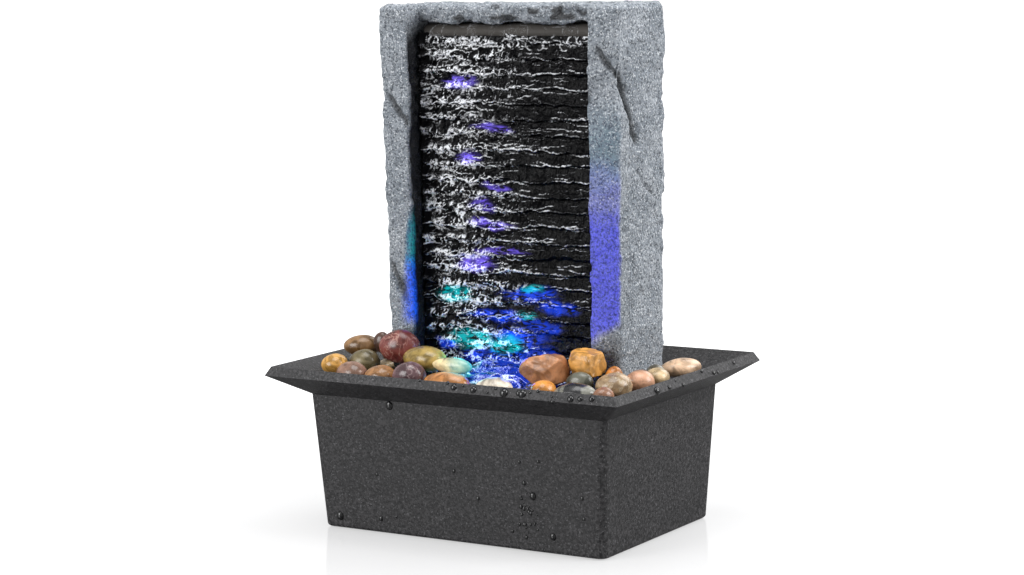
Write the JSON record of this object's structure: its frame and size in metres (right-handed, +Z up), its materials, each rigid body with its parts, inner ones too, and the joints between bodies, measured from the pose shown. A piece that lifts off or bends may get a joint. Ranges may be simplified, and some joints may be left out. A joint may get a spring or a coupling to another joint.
{
  "type": "tabletop water fountain",
  "caption": "Tabletop water fountain: a tapered black basin with a flared rim, river pebbles, and a cast stone tower whose lit, ridged black panel carries a film of water.",
  "frame": {"origin": "on the table, under the middle of the basin's rim", "axes": "+Z up, -Y towards the front, where the water runs, +X to the right seen from the front"},
  "size_m": [0.2, 0.146, 0.2574],
  "materials": {
    "basin_plastic": "fine-grained charcoal plastic with pale specks",
    "deck_plastic": "plain black plastic, wet",
    "cast_stone": "rough blue-grey cast stone",
    "wet_slate": "black, ridged, under a film of running water",
    "trough_plastic": "smooth brown-grey, wet",
    "cover_plastic": "dark grey, lightly grained",
    "clear_hose": "clear soft tube",
    "pump_plastic": "black satin plastic",
    "rubber": "black, matt",
    "ceramic_shaft": "white polished ceramic",
    "magnet": "dark sintered ferrite",
    "impeller_plastic": "pale moulded plastic",
    "sponge": "open-cell black foam",
    "lamp_plastic": "black satin plastic",
    "circuit_board": "white board with light-emitting diodes",
    "lamp_lens": "frosted clear lens",
    "lead_jacket": "black satin jacket",
    "screw_steel": "bright stainless",
    "pebble_yellow": "smooth river stone, wet",
    "pebble_mauve": "smooth river stone, wet",
    "pebble_brown": "smooth river stone, wet",
    "pebble_purple": "smooth river stone, wet",
    "pebble_orange": "smooth river stone, wet",
    "pebble_white": "smooth river stone, wet",
    "pebble_amber": "smooth river stone, wet",
    "pebble_striped": "grey, black and white bands, wet",
    "pebble_chestnut": "smooth river stone, wet",
    "pebble_olive": "smooth river stone, wet",
    "pebble_crimson": "dark red with pale veins, wet",
    "pebble_ochre": "smooth river stone, wet",
    "pebble_cream": "smooth river stone, wet",
    "pebble_rose_rock": "rough pink-brown stone, wet",
    "pebble_gold_rock": "rough honey-yellow stone, wet",
    "pebble_moss": "smooth river stone, wet",
    "pebble_tangerine": "smooth river stone, wet",
    "pebble_tan": "smooth river stone, wet",
    "pebble_pink": "smooth river stone, wet",
    "pebble_slate": "smooth river stone, wet",
    "pebble_sand": "smooth river stone, wet",
    "pebble_shell": "smooth river stone, wet",
    "pebble_walnut": "smooth river stone, wet",
    "pebble_umber": "smooth river stone, wet"
  },
  "bodies": {
    "basin": {"basin": "basin_plastic", "foot_front_left": "rubber", "foot_front_right": "rubber", "foot_rear_left": "rubber", "foot_rear_right": "rubber", "cord_grommet": "rubber", "pump_housing": "pump_plastic", "volute_cover": "pump_plastic", "pump_shaft": "ceramic_shaft", "shaft_bush_front": "rubber", "shaft_bush_rear": "rubber", "suction_cup_front_left": "rubber", "suction_cup_front_right": "rubber", "suction_cup_rear_left": "rubber", "suction_cup_rear_right": "rubber", "lamp_housing": "lamp_plastic", "lamp_board": "circuit_board", "lamp_lens": "lamp_lens", "lamp_lead": "lead_jacket"},
    "deck": {"deck_plate": "deck_plastic", "pebble_yellow": "pebble_yellow", "pebble_mauve": "pebble_mauve", "pebble_brown": "pebble_brown", "pebble_purple": "pebble_purple", "pebble_orange": "pebble_orange", "pebble_white": "pebble_white", "pebble_amber": "pebble_amber", "pebble_striped": "pebble_striped", "pebble_chestnut": "pebble_chestnut", "pebble_olive": "pebble_olive", "pebble_crimson": "pebble_crimson", "pebble_ochre": "pebble_ochre", "pebble_cream": "pebble_cream", "pebble_rose_rock": "pebble_rose_rock", "pebble_gold_rock": "pebble_gold_rock", "pebble_moss": "pebble_moss", "pebble_tangerine": "pebble_tangerine", "pebble_tan": "pebble_tan", "pebble_pink": "pebble_pink", "pebble_slate": "pebble_slate", "pebble_sand": "pebble_sand", "pebble_shell": "pebble_shell", "pebble_walnut": "pebble_walnut", "pebble_umber": "pebble_umber"},
    "tower": {"rock_surround": "cast_stone", "ridged_panel": "wet_slate", "weir_trough": "trough_plastic", "trough_inlet": "pump_plastic", "hose": "clear_hose", "back_cover": "cover_plastic", "cover_screw_lower_left": "screw_steel", "cover_screw_upper_left": "screw_steel", "cover_screw_lower_right": "screw_steel", "cover_screw_upper_right": "screw_steel"},
    "rotor": {"rotor_magnet": "magnet", "impeller": "impeller_plastic"},
    "intake": {"intake_cover": "pump_plastic", "filter_sponge": "sponge"},
    "flow_gate": {"flow_slider": "pump_plastic"}
  },
  "joints": [
    {"name": "deck_lift", "type": "slide", "parent": "basin", "child": "deck", "axis": [0, 0, 1], "range_m": [0, 0.08]},
    {"name": "tower_lift", "type": "slide", "parent": "deck", "child": "tower", "axis": [0, 0, 1], "range_m": [0, 0.08]},
    {"name": "rotor_spin", "type": "hinge", "parent": "basin", "child": "rotor", "pos_m": [0, 0.022, 0.023], "axis": [1, 0, 0], "continuous": true},
    {"name": "intake_pull", "type": "slide", "parent": "basin", "child": "intake", "axis": [1, 0, 0], "range_m": [0, 0.015]},
    {"name": "flow_adjust", "type": "slide", "parent": "intake", "child": "flow_gate", "axis": [0, 0, 1], "range_m": [-0.007, 0.003]}
  ]
}
